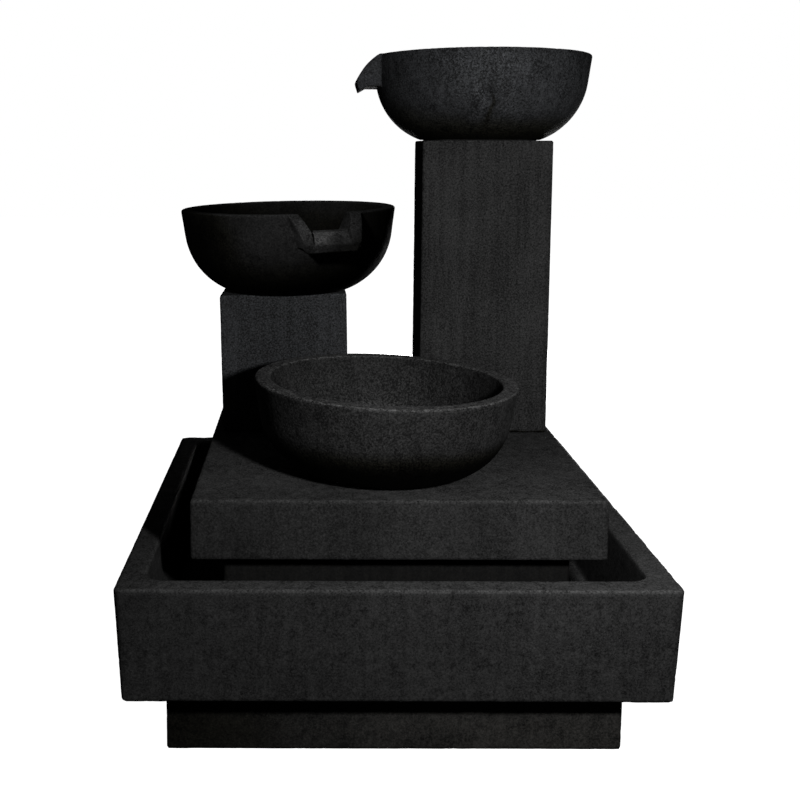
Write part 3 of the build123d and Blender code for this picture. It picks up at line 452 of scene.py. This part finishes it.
# In these, top lightens the faces that look up (painted light from above), and under and damp darken the
# faces that look down (painted shade).
BLOCK = dict(
    wave=0.0008, rough=0.0006, pit_size=0.007, pit_depth=0.0009, pit_share=0.35, chip=0.003,
    marks=(), painted_top_light=2.2, painted_underside_shade=0.5, painted_shade_ramp=(0.1, 0.85),
)
BOWL = dict(
    wave=0.0008, rough=0.0004, pit_size=0.006, pit_depth=0.0009, pit_share=0.45, chip=0.0015,
    marks=(), painted_top_light=2.4, painted_underside_shade=0.06, painted_shade_ramp=(0.2, 0.9),
)

# Oval patches in the tone, most of them painted light and shade: lighter where light falls and darker where
# shade falls. Centre, reach and strength of each, for patina().
# Painted shade on the left of the plinth, painted light on its right.
PLINTH_PAINTED_LIGHT_AND_SHADE = (
    ((-0.31, -0.34, 0.05), (0.17, 0.3, 0.2), -1.1),
    ((0.25, -0.34, 0.05), (0.2, 0.3, 0.2), 0.25),
)
# Painted light on the right of the basin, painted shade along its left wall near the rim.
BASIN_PAINTED_LIGHT_AND_SHADE = (
    ((0.32, -0.40, 0.2), (0.28, 0.4, 0.3), 0.25),
    ((-0.40, 0.0, 0.27), (0.05, 0.35, 0.05), -0.5),
)
# Painted shade on the left of the slab's front, painted light on its right and on its upper face at the
# left.
SLAB_PAINTED_LIGHT_AND_SHADE = (
    ((-0.31, -0.31, 0.32), (0.22, 0.15, 0.2), -0.28),
    ((0.25, -0.31, 0.33), (0.2, 0.2, 0.2), 0.15),
    ((-0.27, -0.17, 0.375), (0.14, 0.16, 0.03), 0.35),
)
# A painted shadow line along the foot of the tall column's front, where it meets the slab.
TALL_COLUMN_PAINTED_SHADOW = (((0.188, 0.07, 0.37), (0.3, 0.05, 0.004), -2.0),)
# The bowl on the tall column: painted light high on its front, thin lighter and darker stripes low on its
# front, and painted shade at its left.
TOP_BOWL_MARKS = (
    ((0.175, -0.05, 1.04), (0.075, 0.1, 0.045), 0.5),
    ((0.150, -0.03, 0.965), (0.014, 0.1, 0.038), 0.6),
    ((0.171, -0.03, 0.955), (0.006, 0.1, 0.030), -1.0),
    ((0.134, -0.03, 0.985), (0.006, 0.1, 0.022), -0.5),
    ((0.225, -0.03, 0.955), (0.030, 0.1, 0.012), 0.35),
    ((0.02, 0.05, 0.96), (0.07, 0.15, 0.06), -0.5),
)
# Painted shade on the left and right of the middle bowl and inside it; painted light on and beside its
# spout.
MIDDLE_BOWL_PAINTED_LIGHT_AND_SHADE = (
    ((-0.38, 0.10, 0.71), (0.11, 0.25, 0.16), -3.2),
    ((-0.10, -0.05, 0.748), (0.045, 0.05, 0.022), 1.25),
    ((-0.05, -0.03, 0.77), (0.02, 0.05, 0.03), 0.3),
    ((0.0, 0.05, 0.71), (0.12, 0.2, 0.2), -1.0),
    ((-0.166, 0.22, 0.73), (0.20, 0.17, 0.06), -1.6),
    ((-0.12, -0.05, 0.755), (0.06, 0.06, 0.015), 0.5),
)
# Painted light inside the lower bowl, on its front right and on its rim at both sides; painted shade low on
# its front.
LOWER_BOWL_PAINTED_LIGHT_AND_SHADE = (
    ((-0.01, 0.05, 0.46), (0.12, 0.10, 0.06), 0.45),
    ((0.0, -0.35, 0.42), (0.25, 0.1, 0.04), -0.5),
    ((0.18, -0.25, 0.47), (0.08, 0.1, 0.05), 0.2),
    ((-0.21, 0.02, 0.5), (0.05, 0.16, 0.035), 0.45),
    ((0.22, 0.02, 0.49), (0.05, 0.16, 0.035), 0.25),
)

# Each casting's shape, for worn_casting(), and its look, for stone_material().
castings = {
    "plinth": (
        dict(BLOCK, quad=0.0038, marks=PLINTH_PAINTED_LIGHT_AND_SHADE),
        dict(tone=0.025, tint=WARM, clouds=0.3),
    ),
    "basin": (
        dict(BLOCK, quad=0.0047, marks=BASIN_PAINTED_LIGHT_AND_SHADE, painted_top_light=2.5),
        dict(tone=0.026, tint=NEUTRAL, clouds=0.15, speckle=0.3),
    ),
    # The pump pedestal's very low tone is painted shade: it stands in the shade beneath the slab.
    "pump_pedestal": (
        dict(BLOCK, quad=0.0045),
        dict(tone=0.005, tint=WARM, streaks=0.45),
    ),
    "slab": (
        dict(BLOCK, quad=0.0034, pit_share=0.5, pit_depth=0.0012, marks=SLAB_PAINTED_LIGHT_AND_SHADE, painted_top_light=2.65),
        dict(tone=0.0245, tint=NEUTRAL, speckle=0.55),
    ),
    "short_column": (
        dict(BLOCK, quad=0.003),
        dict(tone=0.039, tint=COOL, grain=1.4),
    ),
    "tall_column": (
        dict(BLOCK, quad=0.0032, chip=0.004, marks=TALL_COLUMN_PAINTED_SHADOW),
        dict(tone=0.0305, tint=NEUTRAL, streaks=0.25, grain=1.4),
    ),
    "top_bowl": (
        dict(BOWL, quad=0.0025, marks=TOP_BOWL_MARKS, painted_underside_shade=0.08, painted_shade_ramp=(0.3, 1.0)),
        dict(tone=0.036, tint=COOL, streaks=0.2, clouds=0.35, speckle=0.7, grain=1.4),
    ),
    "middle_bowl": (
        dict(BOWL, quad=0.0025, marks=MIDDLE_BOWL_PAINTED_LIGHT_AND_SHADE),
        dict(tone=0.024, tint=NEUTRAL),
    ),
    "lower_bowl": (
        dict(BOWL, quad=0.0026, pit_share=0.7, marks=LOWER_BOWL_PAINTED_LIGHT_AND_SHADE, painted_top_light=4.3, painted_shade_ramp=(0.05, 0.65)),
        dict(tone=0.0242, tint=NEUTRAL, speckle=0.9, grain=1.6),
    ),
}

for number, (node, (shape, look)) in enumerate(castings.items()):
    casting = worn_casting(node, seed=100 * (number + 1), **shape)
    casting.data.materials.append(stone_material(f"{node}_patina", **look))


# ---------------------------------------------------------------- camera, floor and light

CAMERA_PLACE = (-0.1218, -1.8391, 0.8880)
CAMERA_TILT_DEG = (-6.62, 0.119, 0.042)  # pitch, roll and yaw
CAMERA_LENS_MM = 48.04
CAMERA_SHIFT = (0.1094, -0.15727)
SENSOR_MM = 36.0

# Lamps: place and target in metres, size in metres, power in watts.
KEY = dict(place=(0.256, -1.216, 0.843), target=(0.1, 0.1, 0.6), size=0.10, power=7.5)
SPOUT_LIGHT = dict(place=(-0.55, -1.3, 1.25), target=(-0.165, 0.0, 0.72), size=0.12, power=7.0)
KICKER = dict(target=(0.0, 0.2, 0.5), size=0.4, power=12.0)
KICKER_PLACES = ((0.35, 2.8, 0.22), (1.3, 2.8, 0.22))

FLOOR_HALF = 12.0
FLOOR_GLOW = 1.1  # keeps the floor white beside the dark stone
FILL = 0.008

def make_camera():
    data = bpy.data.cameras.new("camera")
    data.lens = CAMERA_LENS_MM
    data.sensor_width = SENSOR_MM
    data.shift_x, data.shift_y = CAMERA_SHIFT
    camera = bpy.data.objects.new("camera", data)
    pitch, roll, yaw = (math.radians(angle) for angle in CAMERA_TILT_DEG)
    aim = Euler((math.pi / 2 + pitch, 0.0, yaw)).to_matrix() @ Euler((0.0, 0.0, roll)).to_matrix()
    camera.matrix_world = aim.to_4x4()
    camera.location = CAMERA_PLACE
    bpy.context.scene.collection.objects.link(camera)
    bpy.context.scene.camera = camera


def aimed_at(thing, place, target):
    thing.location = place
    thing.rotation_euler = (Vector(target) - Vector(place)).to_track_quat("-Z", "Y").to_euler()


def make_softbox(name, place, target, size, power):
    """An area light that no camera sees."""
    data = bpy.data.lights.new(name, "AREA")
    data.shape = "DISK"
    data.size = size
    data.energy = power
    lamp = bpy.data.objects.new(name, data)
    aimed_at(lamp, place, target)
    lamp.visible_camera = False
    bpy.context.scene.collection.objects.link(lamp)
    return lamp


def link_light(lamp, piece_name, state):
    """Makes a lamp light only that piece (INCLUDE) or everything but that piece (EXCLUDE)."""
    group = bpy.data.collections.new(f"{lamp.name}_group")
    group.objects.link(bpy.data.objects[piece_name])
    group.collection_objects[0].light_linking.link_state = state
    lamp.light_linking.receiver_collection = group


def make_floor():
    """A wide pale floor. It takes shadows, and throws no light back on the dark stone."""
    mesh = bpy.data.meshes.new("floor")
    corners = [(FLOOR_HALF * x, FLOOR_HALF * y, 0.0) for x, y in ((-1, -1), (1, -1), (1, 1), (-1, 1))]
    mesh.from_pydata(corners, [], [(0, 1, 2, 3)])
    floor = bpy.data.objects.new("floor", mesh)
    bpy.context.scene.collection.objects.link(floor)
    material, _, shader = new_material("floor_paper")
    shader.inputs["Base Color"].default_value = (0.8, 0.8, 0.8, 1.0)
    shader.inputs["Roughness"].default_value = 1.0
    shader.inputs["Specular IOR Level"].default_value = 0.0
    shader.inputs["Emission Color"].default_value = (1.0, 1.0, 1.0, 1.0)
    shader.inputs["Emission Strength"].default_value = FLOOR_GLOW
    mesh.materials.append(material)
    floor.visible_diffuse = False
    floor.visible_glossy = False


def make_backdrop():
    """A white surround for the camera; its own light on the object is only a weak fill."""
    world = bpy.data.worlds.new("studio")
    world.use_nodes = True
    tree = world.node_tree
    tree.nodes.clear()
    seen = add(tree, "ShaderNodeLightPath").outputs["Is Camera Ray"]
    fill = add(tree, "ShaderNodeBackground", {"Color": grey(1.0), "Strength": FILL})
    white = add(tree, "ShaderNodeBackground", {"Color": grey(1.0), "Strength": 1.0})
    both = add(tree, "ShaderNodeMixShader", {0: seen, 1: fill.outputs[0], 2: white.outputs[0]})
    output = add(tree, "ShaderNodeOutputWorld")
    tree.links.new(both.outputs[0], output.inputs["Surface"])
    bpy.context.scene.world = world


make_camera()
make_floor()
make_backdrop()
key = make_softbox("key", **KEY)
spout_light = make_softbox("spout_light", **SPOUT_LIGHT)
link_light(key, "middle_bowl_stone", "EXCLUDE")
link_light(spout_light, "middle_bowl_stone", "INCLUDE")
for number, place in enumerate(KICKER_PLACES):
    make_softbox(f"kicker_{number}", place=place, **KICKER)

bpy.context.scene.view_settings.view_transform = "Standard"
